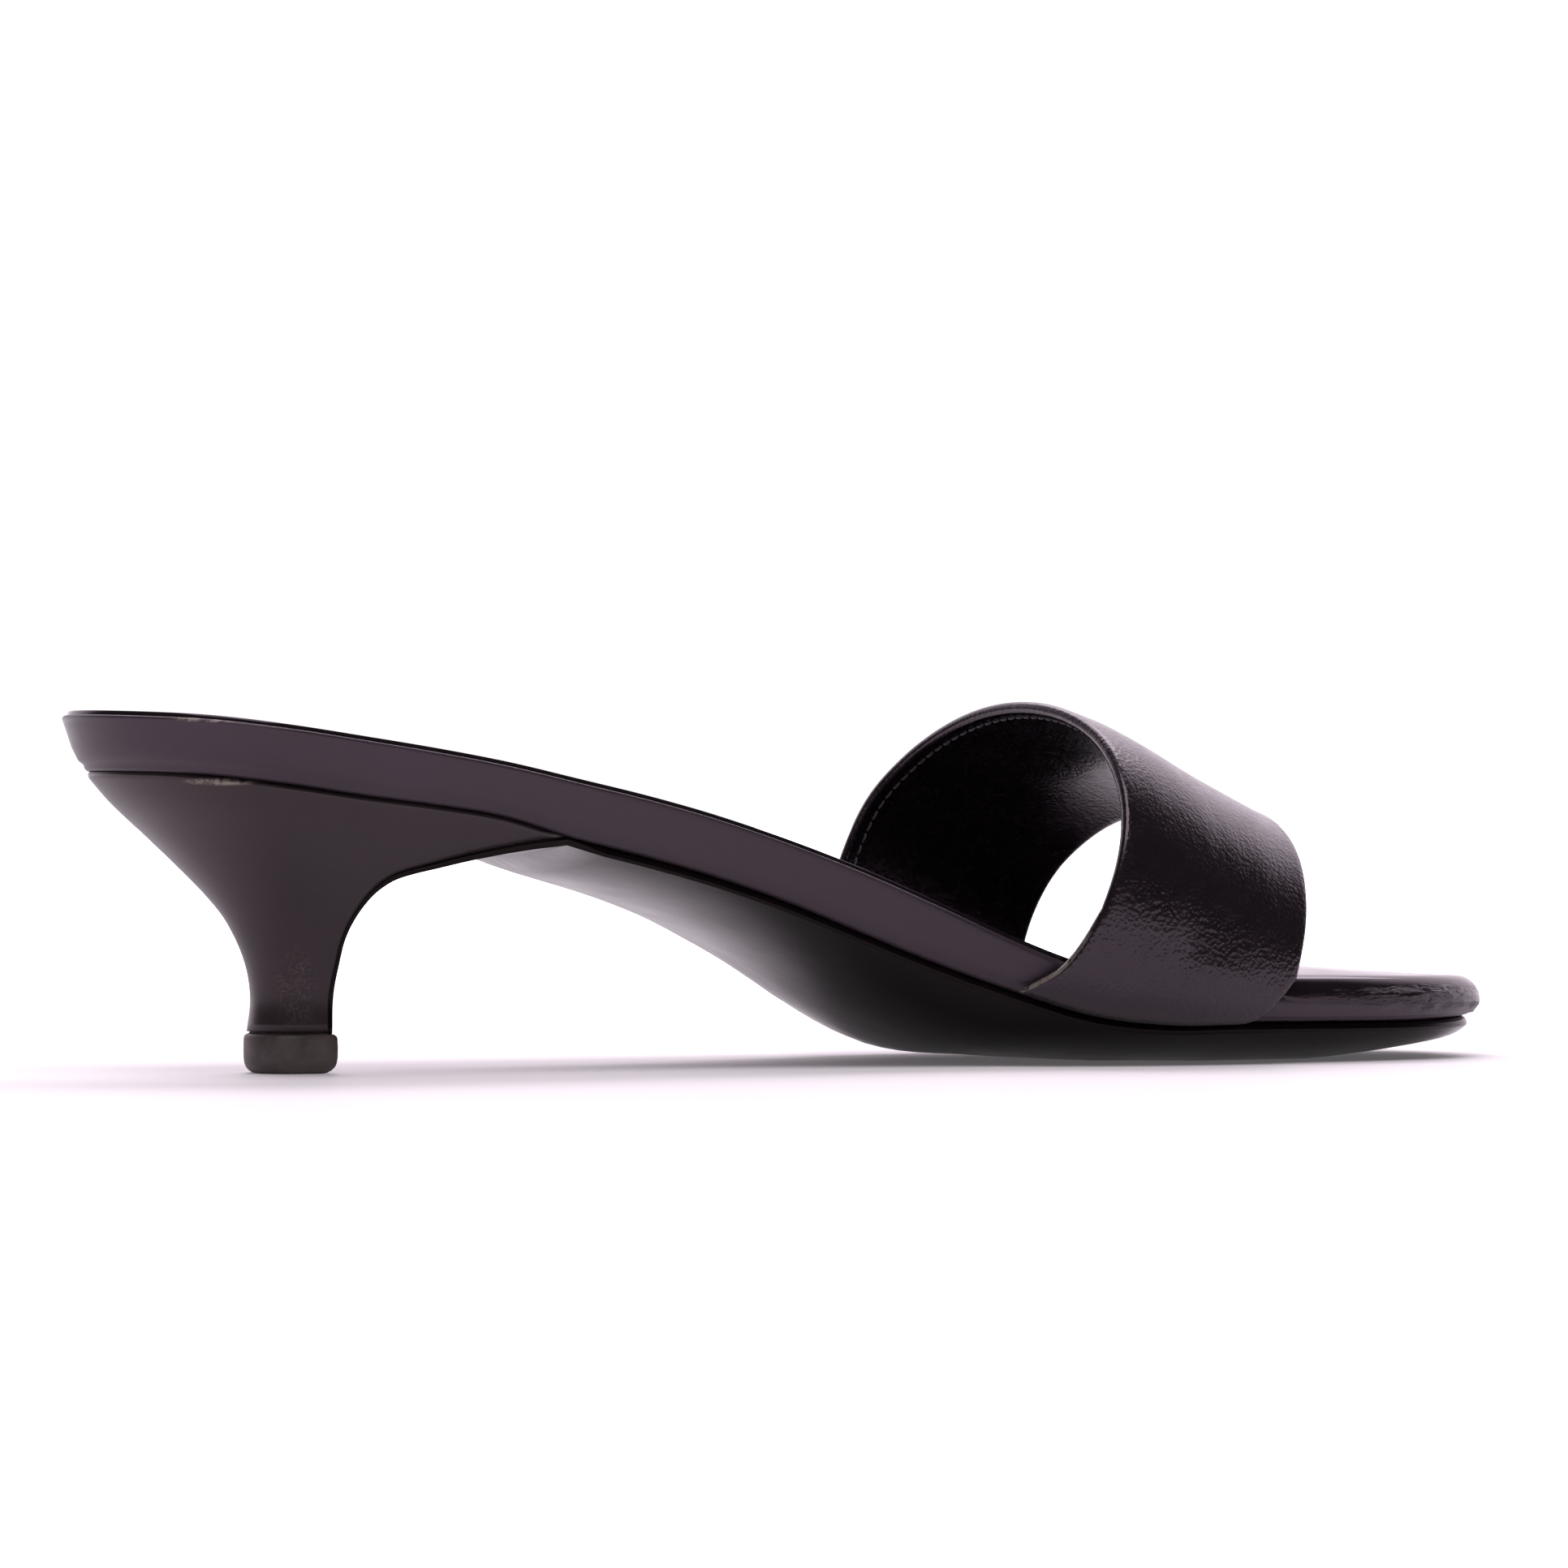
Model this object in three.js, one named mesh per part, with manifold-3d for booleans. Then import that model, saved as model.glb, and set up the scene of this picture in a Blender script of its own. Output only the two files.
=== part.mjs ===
// A left kitten-heel slide sandal: one wide band over a wrapped footbed, on a covered heel and a thin sole.
// X runs to the toe, +Y to the outer side of the foot, Z up from the floor. All sizes in millimetres.
import * as THREE from 'three';
import Module from 'manifold-3d';

const wasm = await Module();
wasm.setup();

// Foot sizes
const length = 238.5;
const ballWidth = 77;
const waistWidth = 52;
const seatWidth = 53;
const seatHeight = 45.6; // underside of the footbed at the back
const treadHeight = 6.6; // underside of the footbed over the ball
const seatRound = 27; // how far the round of the heel end reaches forward
const toeRound = 42; // how far the round of the toe reaches back
const toeSquareness = 2.6; // 2 is an ellipse, more is squarer
const waistTwist = 2.6; // how much lower the lateral edge lies at the waist
const gap = 0.3; // between neighbouring pieces

// Footbed and sock
const bedThickness = 8.8; // both together, at the waist
const sockThickness = 0.9;
const sockMargin = 0.3; // from the footbed's rim to the sock's edge
const wallLean = 3; // how far the wall leans in under the heel end
const toeRim = 2.4; // radius of the padded rim at the toe
const toeCrown = 1.6; // rise of the padding at the middle of the forepart

// Band
const bandWall = 2;
const crestHeight = 57; // outside, at the rear edge
const crestDrop = 19.2; // from there to its front edge
const medialBulge = 2; // how far the band stands out past the footbed, at the rear edge
const lateralBulge = 0.4;
const bandSquareness = 2.1;
const lastingWidth = 8; // turned under the footbed
const lastingThickness = 1.2;

// Heel and top piece
const topPieceHeight = 6;
const topPieceProud = 0.5;
const heelBack = 28.4; // back of the neck, from the back of the shoe
const breastAt = 38.1; // front of the neck
const neckWidth = 13.2;
const neckRound = 6.1; // depth of the round at the back of the neck
const wingTip = 70.5; // where the heel's wings end
const heelMargin = 0.2; // in from the footbed's lower edge

// Outsole
const soleRim = 1.3; // thickness at the edge
const flapThickness = 0.6; // down the breast of the heel
const soleMargin = 0.5; // in from the footbed's lower edge
const soleFullness = 3.5; // how square the belly is across

// The footprint: at is a share of the length, medial and lateral are shares of the width that the row names
const footprint = [
  { at: 0, medial: 0.5, lateral: 0.5, width: seatWidth },
  { at: 0.1, medial: 0.5, lateral: 0.5, width: seatWidth },
  { at: 0.2, medial: 0.49, lateral: 0.5, width: seatWidth },
  { at: 0.33, medial: 0.47, lateral: 0.51, width: waistWidth },
  { at: 0.43, medial: 0.465, lateral: 0.54, width: waistWidth },
  { at: 0.52, medial: 0.53, lateral: 0.61, width: waistWidth },
  { at: 0.6, medial: 0.418, lateral: 0.455, width: ballWidth },
  { at: 0.68, medial: 0.476, lateral: 0.483, width: ballWidth },
  { at: 0.75, medial: 0.496, lateral: 0.484, width: ballWidth },
  { at: 0.83, medial: 0.48, lateral: 0.455, width: ballWidth },
  { at: 0.9, medial: 0.455, lateral: 0.425, width: ballWidth },
  { at: 1, medial: 0.43, lateral: 0.39, width: ballWidth },
];

// The side view. rise: underside of the footbed, 0 over the ball to 1 at the back. thick: share of
// bedThickness. deep: depth of the outsole under it, as a share of treadHeight. lean: share of wallLean.
// rim: share of toeRim. crown: share of toeCrown. twist: share of waistTwist.
const profile = [
  { at: 0, rise: 1, thick: 1.01, deep: 0.4, lean: 1, rim: 0.2, crown: -0.3, twist: 0 },
  { at: 0.05, rise: 0.985, thick: 0.985, deep: 0.4, lean: 1, rim: 0.2, crown: -0.3, twist: 0 },
  { at: 0.1, rise: 0.948, thick: 0.98, deep: 0.4, lean: 0.95, rim: 0.2, crown: -0.3, twist: 0 },
  { at: 0.15, rise: 0.905, thick: 0.98, deep: 0.4, lean: 0.9, rim: 0.2, crown: -0.25, twist: 0 },
  { at: 0.2, rise: 0.868, thick: 0.945, deep: 0.4, lean: 0.8, rim: 0.2, crown: -0.2, twist: 0 },
  { at: 0.25, rise: 0.822, thick: 0.92, deep: 0.4, lean: 0.7, rim: 0.2, crown: -0.1, twist: 0 },
  { at: 0.3, rise: 0.738, thick: 1.01, deep: 0.46, lean: 0.6, rim: 0.2, crown: 0, twist: 0.12 },
  { at: 0.35, rise: 0.668, thick: 1.03, deep: 0.46, lean: 0.5, rim: 0.2, crown: 0.05, twist: 0.36 },
  { at: 0.4, rise: 0.59, thick: 1.035, deep: 0.46, lean: 0.5, rim: 0.2, crown: 0.1, twist: 0.5 },
  { at: 0.45, rise: 0.492, thick: 1.045, deep: 0.5, lean: 0.5, rim: 0.2, crown: 0.2, twist: 0.6 },
  { at: 0.5, rise: 0.37, thick: 1.08, deep: 0.66, lean: 0.5, rim: 0.28, crown: 0.3, twist: 0.78 },
  { at: 0.55, rise: 0.246, thick: 1.04, deep: 1.1, lean: 0.5, rim: 0.35, crown: 0.5, twist: 1 },
  { at: 0.6, rise: 0.133, thick: 0.92, deep: 1.28, lean: 0.45, rim: 0.45, crown: 0.7, twist: 0.95 },
  { at: 0.65, rise: 0.035, thick: 0.85, deep: 1.01, lean: 0.4, rim: 0.6, crown: 0.9, twist: 0.45 },
  { at: 0.7, rise: 0, thick: 0.79, deep: 0.985, lean: 0.4, rim: 0.75, crown: 1, twist: 0.1 },
  { at: 0.75, rise: 0, thick: 0.73, deep: 1.06, lean: 0.4, rim: 0.9, crown: 1, twist: 0 },
  { at: 0.84, rise: -0.004, thick: 0.705, deep: 1.06, lean: 0.35, rim: 1, crown: 1, twist: 0 },
  { at: 0.9, rise: -0.006, thick: 0.695, deep: 0.9, lean: 0.35, rim: 1, crown: 0.9, twist: 0 },
  { at: 0.96, rise: 0, thick: 0.665, deep: 0.7, lean: 0.35, rim: 1, crown: 0.6, twist: 0 },
  { at: 1, rise: 0.004, thick: 0.62, deep: 0.56, lean: 0.35, rim: 1, crown: 0.3, twist: 0 },
];

// The band's edges. at goes round the foot from the medial foot of the band to the lateral one;
// rear and front are shares of the length.
const bandEdges = [
  { at: 0, rear: 0.6, front: 0.75 },
  { at: 0.05, rear: 0.6235, front: 0.767 },
  { at: 0.14, rear: 0.648, front: 0.786 },
  { at: 0.2, rear: 0.6635, front: 0.798 },
  { at: 0.26, rear: 0.677, front: 0.807 },
  { at: 0.32, rear: 0.684, front: 0.8155 },
  { at: 0.38, rear: 0.688, front: 0.823 },
  { at: 0.44, rear: 0.6845, front: 0.8265 },
  { at: 0.5, rear: 0.6775, front: 0.821 },
  { at: 0.56, rear: 0.67, front: 0.8095 },
  { at: 0.62, rear: 0.6615, front: 0.8 },
  { at: 0.68, rear: 0.65, front: 0.7915 },
  { at: 0.74, rear: 0.637, front: 0.782 },
  { at: 0.8, rear: 0.6275, front: 0.774 },
  { at: 0.86, rear: 0.618, front: 0.7665 },
  { at: 0.95, rear: 0.599, front: 0.751 },
  { at: 1, rear: 0.586, front: 0.738 },
];

// The band's crest and its widest line, from its rear edge at 0 to its front edge at 1
const bandHeights = [
  { at: -0.5, drop: -0.25, widest: 0.5 },
  { at: 0, drop: 0, widest: 0.38 },
  { at: 0.27, drop: 0.185, widest: 0.31 },
  { at: 0.6, drop: 0.505, widest: 0.25 },
  { at: 0.93, drop: 0.8, widest: 0.22 },
  { at: 1.1, drop: 0.93, widest: 0.22 },
];

// The heel's taper: at is a share of the way down, in a share of the way from seat to neck
const heelTaper = [
  { at: 0, in: 0 },
  { at: 0.03, in: 0.033 },
  { at: 0.12, in: 0.158 },
  { at: 0.24, in: 0.36 },
  { at: 0.36, in: 0.56 },
  { at: 0.48, in: 0.748 },
  { at: 0.58, in: 0.872 },
  { at: 0.73, in: 0.982 },
  { at: 0.87, in: 1.02 },
  { at: 1, in: 1 },
];

// The breast of the heel, from the top piece to the wings' tip: shares of the way ahead and up
const breastCurve = [
  { ahead: 0, up: 0 },
  { ahead: 0.012, up: 0.21 },
  { ahead: 0.03, up: 0.352 },
  { ahead: 0.045, up: 0.491 },
  { ahead: 0.083, up: 0.631 },
  { ahead: 0.132, up: 0.732 },
  { ahead: 0.2, up: 0.8 },
  { ahead: 0.276, up: 0.834 },
  { ahead: 0.401, up: 0.87 },
  { ahead: 0.517, up: 0.904 },
  { ahead: 0.633, up: 0.934 },
  { ahead: 0.749, up: 0.96 },
  { ahead: 0.865, up: 0.982 },
  { ahead: 1, up: 1 },
];

// A smooth curve through what each row gives
function through(table, value) {
  const curve = new THREE.CubicInterpolant(table.map((row) => row.at), table.map(value), 1);
  return (at) => curve.evaluate(at)[0];
}

const medialHalf = through(footprint, (row) => row.medial * row.width);
const lateralHalf = through(footprint, (row) => row.lateral * row.width);
const riseAt = through(profile, (row) => treadHeight + row.rise * (seatHeight - treadHeight));
const thickAt = through(profile, (row) => row.thick * bedThickness);
const deepAt = through(profile, (row) => row.deep * treadHeight);
const leanAt = through(profile, (row) => row.lean * wallLean);
const rimAt = through(profile, (row) => row.rim * toeRim);
const crownAt = through(profile, (row) => row.crown * toeCrown);
const twistAt = through(profile, (row) => row.twist * waistTwist);
const rearAt = through(bandEdges, (row) => row.rear * length);
const frontAt = through(bandEdges, (row) => row.front * length);
const taperAt = through(heelTaper, (row) => row.in);

const mix = THREE.MathUtils.lerp;
const underside = (x) => riseAt(x / length);
const bedTop = (x) => underside(x) + thickAt(x / length) - sockThickness - gap;

// A point of the footprint: side is -1 on the medial edge, 1 on the lateral one
function onPrint(along, side, inset) {
  const heelShare = Math.max(0, 1 - (along * length) / seatRound);
  const toeShare = Math.max(0, 1 - ((1 - along) * length) / toeRound);
  const ends = Math.sqrt(1 - heelShare ** 2) * (1 - toeShare ** toeSquareness) ** (1 / toeSquareness);
  const half = ((medialHalf(along) + lateralHalf(along)) / 2 - inset) * ends;
  const middle = (lateralHalf(along) - medialHalf(along)) / 2;
  return { x: inset + along * (length - 2 * inset), y: middle + side * half };
}

// The whole shoe is twisted at the waist, where its lateral edge lies lower
function twisted(place) {
  const at = THREE.MathUtils.clamp(place.x / length, 0, 1);
  const share = (place.y + medialHalf(at)) / (medialHalf(at) + lateralHalf(at));
  const drop = Math.max(0, twistAt(at)) * THREE.MathUtils.clamp(share, 0, 1);
  return new THREE.Vector3(place.x, place.y, Math.max(0, place.z - drop));
}

// A closed solid through rings of equally many points, each end closed from side to side
function loft(rings) {
  const count = rings[0].length;
  const points = rings.flat().map(twisted);
  const faces = [];
  const quad = (a, b, c, d) => faces.push([a, b, c], [a, c, d]);
  for (let ring = 0; ring < rings.length - 1; ring += 1) {
    for (let i = 0; i < count; i += 1) {
      const next = (i + 1) % count;
      quad(ring * count + i, ring * count + next, (ring + 1) * count + next, (ring + 1) * count + i);
    }
  }
  const last = (rings.length - 1) * count;
  for (let i = 0; i < Math.floor(count / 2); i += 1) {
    quad(i, count - 1 - i, count - 2 - i, i + 1);
    quad(last + i, last + i + 1, last + count - 2 - i, last + count - 1 - i);
  }
  return closedGeometry(points, faces);
}

// Joins points that coincide, drops faces that this folds flat, and turns the faces outwards
function closedGeometry(points, faces) {
  const places = new Map();
  const kept = [];
  const idOf = points.map((point) => {
    const key = [point.x, point.y, point.z].map((value) => Math.round(value * 1000)).join();
    if (!places.has(key)) {
      places.set(key, kept.length);
      kept.push(point);
    }
    return places.get(key);
  });
  let solid = faces.map((face) => face.map((i) => idOf[i]));
  solid = solid.filter(([a, b, c]) => a !== b && b !== c && c !== a);
  const volume = solid.reduce((sum, [a, b, c]) => sum + kept[a].dot(kept[b].clone().cross(kept[c])), 0);
  const turned = volume < 0 ? solid.map(([a, b, c]) => [a, c, b]) : solid;
  const geometry = new THREE.BufferGeometry().setFromPoints(kept);
  geometry.setIndex(turned.flat());
  return geometry;
}

function toSolid(geometry) {
  return new wasm.Manifold(new wasm.Mesh({
    numProp: 3,
    vertProperties: new Float32Array(geometry.attributes.position.array),
    triVerts: new Uint32Array(geometry.index.array),
  }));
}

function toGeometry(solid) {
  const mesh = solid.getMesh();
  const geometry = new THREE.BufferGeometry();
  geometry.setAttribute('position', new THREE.BufferAttribute(mesh.vertProperties, 3));
  geometry.setIndex(Array.from(mesh.triVerts));
  return geometry;
}

// Shares of the length that lie closer together at the round ends
const stations = 60;
const shares = Array.from({ length: stations + 1 }, (_, i) => (1 - Math.cos((Math.PI * i) / stations)) / 2);

const point = (place, z) => new THREE.Vector3(place.x, place.y, z);
const acrossTop = [-0.98, -0.8, -0.5, 0, 0.5, 0.8, 0.98];

// Height of the footbed's top, crowned or dished between its rims
function bedSurface(x, side) {
  return bedTop(x) + crownAt(x / length) * (1 - side ** 2);
}

// How far the footbed's wall lies in from its widest line, at height z
const wallBend = 0.45; // share of the wall's height, and of its lean, where it bends
function wallInset(x, z) {
  const lean = leanAt(x / length);
  const up = (z - underside(x)) / (bedTop(x) - rimAt(x / length) - underside(x));
  const inset = up < wallBend
    ? mix(lean, lean * wallBend, up / wallBend)
    : mix(lean * wallBend, 0, (up - wallBend) / (1 - wallBend));
  return THREE.MathUtils.clamp(inset, 0, lean);
}

function footbedRing(along) {
  const at = onPrint(along, 0, 0).x / length;
  const lean = leanAt(at);
  const rim = rimAt(at);
  const wallPoint = (side, inset, z) => point(onPrint(along, side, inset), z);
  const xOf = (inset) => onPrint(along, 0, inset).x;
  const wall = (side) => [
    wallPoint(side, lean, underside(xOf(lean))),
    wallPoint(side, lean * wallBend, mix(underside(xOf(lean)), bedTop(xOf(0)) - rim, wallBend)),
    wallPoint(side, 0, bedTop(xOf(0)) - rim),
    wallPoint(side, rim * 0.1, bedTop(xOf(rim)) - rim * 0.55),
    wallPoint(side, rim * 0.35, bedTop(xOf(rim)) - rim * 0.22),
  ];
  const top = acrossTop.map((side) => wallPoint(side, rim, bedSurface(xOf(rim), side)));
  return [...wall(-1), ...top, ...wall(1).reverse()];
}

function sockRing(along) {
  const at = onPrint(along, 0, 0).x / length;
  const inset = rimAt(at) + sockMargin;
  const layer = (lift) => acrossTop.map((side) => {
    const place = onPrint(along, side, inset);
    return point(place, bedSurface(place.x, side) + lift);
  });
  const upper = layer(gap + sockThickness);
  const lower = layer(gap);
  const middle = Math.floor(acrossTop.length / 2);
  return [
    ...lower.slice(0, middle + 1).reverse(),
    ...upper.slice(0, middle + 1),
    ...upper.slice(middle),
    ...lower.slice(middle).reverse(),
  ];
}

// The hollow cut in the footbed's lower edge for the band's turned-in end
function lastingPocket(side) {
  const turn = side < 0 ? 0 : 1;
  const steps = 16;
  const reach = lastingWidth + gap;
  const rings = Array.from({ length: steps + 1 }, (_, i) => {
    const x = mix(rearAt(turn) - gap, frontAt(turn) + gap, i / steps);
    const corner = (inset, z) => new THREE.Vector3(x, onPrint(x / length, side, inset).y, z);
    const ceiling = underside(x) + lastingThickness + gap;
    const floor = underside(x) - gap;
    const outside = -bandWall;
    return [corner(reach, floor), corner(reach, ceiling), corner(outside, ceiling), corner(outside, floor)];
  });
  return toSolid(loft(rings));
}

function makeFootbed() {
  let bed = toSolid(loft(shares.map(footbedRing)));
  for (const side of [-1, 1]) {
    bed = bed.subtract(lastingPocket(side));
  }
  return toGeometry(bed);
}

// The inside of the band at x. turn goes round the foot from 0, medial, to 1, lateral.
const lowShare = 0.14; // of the turn, from the band's foot to its widest line
const crestAt = through(bandHeights, (row) => crestHeight - bandWall - row.drop * crestDrop);
const widestAt = through(bandHeights, (row) => row.widest * crestHeight);
const bulgeAt = (side, along) => mix(side < 0 ? medialBulge : lateralBulge, 0, THREE.MathUtils.clamp(along, 0, 1));

function bandInside(turn, x) {
  const side = turn < 0.5 ? -1 : 1;
  const share = Math.min(turn, 1 - turn);
  const along = (x - rearAt(0.5)) / (frontAt(0.5) - rearAt(0.5));
  const edge = onPrint(x / length, side, 0).y;
  const middle = onPrint(x / length, 0, 0).y;
  const foot = underside(x) + lastingThickness + gap;
  const widest = Math.max(widestAt(along), bedTop(x) + gap);
  const bulge = bulgeAt(side, along) + gap * 1.2;
  if (share < lowShare) {
    const up = share / lowShare;
    const z = mix(foot, widest, up);
    const outset = gap * 1.2 - wallInset(x, z) + (bulge - gap * 1.2) * Math.sin((up * Math.PI) / 2);
    return new THREE.Vector3(x, edge + side * outset, z);
  }
  const angle = ((share - lowShare) / (0.5 - lowShare)) * (Math.PI / 2);
  const power = 2 / bandSquareness;
  const reach = Math.abs(edge - middle) + bulge;
  return new THREE.Vector3(
    x,
    middle + side * reach * Math.max(0, Math.cos(angle)) ** power,
    mix(widest, crestAt(along), Math.sin(angle) ** power),
  );
}

function makeBand() {
  const columns = 14;
  const lowRows = 5;
  const archRows = 36;
  const lowTurns = Array.from({ length: lowRows }, (_, i) => (lowShare * i) / lowRows);
  const archTurns = Array.from({ length: archRows + 1 }, (_, i) => mix(lowShare, 1 - lowShare, i / archRows));
  const turns = [...lowTurns, ...archTurns, ...lowTurns.map((turn) => 1 - turn).reverse()];
  const inside = (turn, across) => bandInside(turn, mix(rearAt(turn), frontAt(turn), across));
  const small = 0.002;
  const outwards = (turn, across) => {
    const round = inside(Math.min(1, turn + small), across).sub(inside(Math.max(0, turn - small), across));
    const ahead = inside(turn, Math.min(1, across + small)).sub(inside(turn, Math.max(0, across - small)));
    return ahead.cross(round).normalize();
  };
  // The end that turns in under the footbed, from its tip outwards
  const turnedIn = (side, across) => {
    const turn = side < 0 ? 0 : 1;
    const x = mix(rearAt(turn), frontAt(turn), across);
    const lean = leanAt(x / length);
    const at = (inset, z) => new THREE.Vector3(x, onPrint(x / length, side, inset).y, underside(x) + z);
    const bend = lean - gap - bandWall;
    return [
      { inner: at(lastingWidth, lastingThickness), outer: at(lastingWidth, 0) },
      { inner: at(lean + 1, lastingThickness), outer: at(lean + 1, 0) },
      { inner: at(lean, lastingThickness), outer: at(bend + 1, 0.15) },
      { inner: at(lean - gap * 0.5, lastingThickness + 0.05), outer: at(bend + 0.35, 0.6) },
    ];
  };
  const rings = Array.from({ length: columns + 1 }, (_, column) => {
    const across = column / columns;
    const wall = turns.map((turn) => {
      const inner = inside(turn, across);
      return { inner, outer: inner.clone().addScaledVector(outwards(turn, across), bandWall) };
    });
    const pairs = [...turnedIn(-1, across), ...wall, ...turnedIn(1, across).reverse()];
    return [...pairs.map((pair) => pair.inner), ...pairs.map((pair) => pair.outer).reverse()];
  });
  return loft(rings);
}

// A D-shaped outline round the neck, round at the back: share is 0 at its front corner and 1 at the back
function neckPoint(share, side, depth, grow) {
  const ahead = (1 - share) * (depth + 2 * grow);
  const round = Math.sqrt(1 - Math.max(0, 1 - ahead / (neckRound + grow)) ** 2);
  return { x: heelBack - grow + ahead, y: side * (neckWidth / 2 + grow) * round };
}

const outlineSteps = 22;
const toBack = Array.from({ length: outlineSteps + 1 }, (_, i) => Math.sin((Math.PI / 2) * (i / outlineSteps)));
const bothSides = (half) => [...half(-1), ...half(1).reverse()];

// The heel before its breast is cut: it runs on past the breast and the wings' tip, to be trimmed
function heelForm(lift) {
  const runOn = 26;
  const base = topPieceHeight + gap;
  const level = (down, raised) => bothSides((side) => toBack.map((share) => {
    const along = ((1 - share) * (wingTip + runOn)) / length;
    const seat = onPrint(along, side, leanAt(along) + heelMargin);
    const neck = neckPoint(share, side, breastAt - heelBack + runOn, 0);
    const taper = taperAt(down);
    const z = mix(underside(seat.x) - gap, base, down);
    return new THREE.Vector3(mix(seat.x, neck.x, taper), mix(seat.y, neck.y, taper), z + raised);
  }));
  const downs = [0.03, 0.07, 0.12, 0.18, 0.24, 0.3, 0.36, 0.42, 0.48, 0.54, 0.6, 0.66, 0.73, 0.8, 0.87, 0.94, 1];
  const rings = [level(0, 0), ...downs.map((down) => level(down, 0))];
  if (lift > 0) {
    rings.unshift(level(0, lift));
  }
  return toSolid(loft(rings));
}

const breastPath = new THREE.CatmullRomCurve3(breastCurve.map((row) => new THREE.Vector3(
  mix(breastAt, wingTip, row.ahead),
  0,
  mix(topPieceHeight, underside(wingTip), row.up),
)), false, 'centripetal');

function makeHeel() {
  const ahead = length;
  const above = underside(wingTip) + bedThickness;
  const side = new THREE.Shape(breastPath.getPoints(48).map((place) => new THREE.Vector2(place.x, place.z)));
  side.lineTo(wingTip, above);
  side.lineTo(ahead, above);
  side.lineTo(ahead, -gap);
  side.lineTo(breastAt, -gap);
  const room = new THREE.ExtrudeGeometry(side, { depth: seatWidth * 2, steps: 1, bevelEnabled: false });
  room.rotateX(Math.PI / 2);
  room.translate(0, seatWidth, 0);
  return toGeometry(heelForm(0).subtract(toSolid(joined(room))));
}

// A three.js shape with its corners joined
function joined(geometry) {
  const flat = geometry.index ? geometry.toNonIndexed() : geometry;
  const corners = flat.attributes.position;
  const points = Array.from({ length: corners.count }, (_, i) => new THREE.Vector3().fromBufferAttribute(corners, i));
  const faces = Array.from({ length: corners.count / 3 }, (_, i) => [3 * i, 3 * i + 1, 3 * i + 2]);
  return closedGeometry(points, faces);
}

function makeTopPiece() {
  const depth = breastAt + gap + flapThickness - heelBack;
  const ring = (z, grow) => bothSides((side) => toBack.map((share) => point(neckPoint(share, side, depth, grow), z)));
  return loft([
    ring(0, topPieceProud - 0.7),
    ring(0.3, topPieceProud - 0.2),
    ring(1, topPieceProud),
    ring(topPieceHeight - 0.5, topPieceProud - 0.05),
    ring(topPieceHeight, topPieceProud - 0.35),
  ]);
}

// Underneath the sole bellies out from its thin rim, and is cut flat where it meets the floor
const soleAcross = [-1, -0.97, -0.9, -0.76, -0.5, 0, 0.5, 0.76, 0.9, 0.97, 1];
const bellyAt = (side) => 1 - Math.abs(side) ** soleFullness;

function soleRing(along) {
  const inset = leanAt(along) + soleMargin;
  const place = (side) => onPrint(along, side, inset);
  const x = place(0).x;
  const top = underside(x) - gap;
  const rim = top - soleRim;
  const low = Math.min(rim, underside(x) - deepAt(x / length));
  const below = soleAcross.map((side) => point(place(side), Math.max(0, mix(rim, low, bellyAt(side)))));
  return [point(place(-1), top), ...below, point(place(1), top)];
}

// The flap that runs down the breast, wider than the heel until it is trimmed to it
function flapRing(share) {
  const place = breastPath.getPoint(share);
  const tangent = breastPath.getTangent(share);
  const outwards = new THREE.Vector3(tangent.z, 0, -tangent.x);
  const along = wingTip / length;
  const rim = mix(flapThickness, soleRim, share ** 2);
  const belly = (deepAt(along) - gap - soleRim) * share ** 4;
  const at = (side, depth) => {
    const across = onPrint(along, side, leanAt(along)).y;
    return place.clone().addScaledVector(outwards, gap + depth).setY(across);
  };
  return [at(-1, 0), ...soleAcross.map((side) => at(side, rim + belly * bellyAt(side))), at(1, 0)];
}

function makeOutsole() {
  const flapSteps = 26;
  const flap = Array.from({ length: flapSteps + 1 }, (_, i) => flapRing(i / flapSteps));
  const forepart = shares.filter((along) => along * length > wingTip + 3).map(soleRing);
  const front = new THREE.BoxGeometry(length, ballWidth * 2, seatHeight * 2);
  front.translate(wingTip + length / 2, 0, 0);
  const bounds = heelForm(bedThickness).add(toSolid(joined(front)));
  return toGeometry(toSolid(loft([...flap, ...forepart])).intersect(bounds));
}

const leather = (color, roughness) => new THREE.MeshStandardMaterial({ color, roughness, metalness: 0 });
const pieces = [
  { name: 'footbed', geometry: makeFootbed(), material: leather(0x1b181b, 0.42) },
  { name: 'sock', geometry: loft(shares.slice(1, -1).map(sockRing)), material: leather(0x151314, 0.5) },
  { name: 'band', geometry: makeBand(), material: leather(0x100e10, 0.3) },
  { name: 'heel', geometry: makeHeel(), material: leather(0x1b191b, 0.38) },
  { name: 'top_piece', geometry: makeTopPiece(), material: leather(0x1e1f1b, 0.7) },
  { name: 'outsole', geometry: makeOutsole(), material: leather(0x171816, 0.35) },
];

const shoe = new THREE.Group();
for (const { name, geometry, material } of pieces) {
  geometry.computeVertexNormals();
  const mesh = new THREE.Mesh(geometry, material);
  mesh.name = name;
  shoe.add(mesh);
}

// The origin is on the floor, under the middle of the whole shoe
const box = new THREE.Box3().setFromObject(shoe);
const centre = box.getCenter(new THREE.Vector3());
shoe.position.set(-centre.x, -centre.y, -box.min.z);

export default shoe;
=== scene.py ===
# Black leather kitten-heel slide, left shoe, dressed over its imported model.
# X runs to the toe, +Y to the outer side of the foot. Shapes are in millimetres from the heel end;
# rubs, grain, lights and camera are in metres from the middle of the shoe.
import math
from bisect import bisect_right

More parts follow.
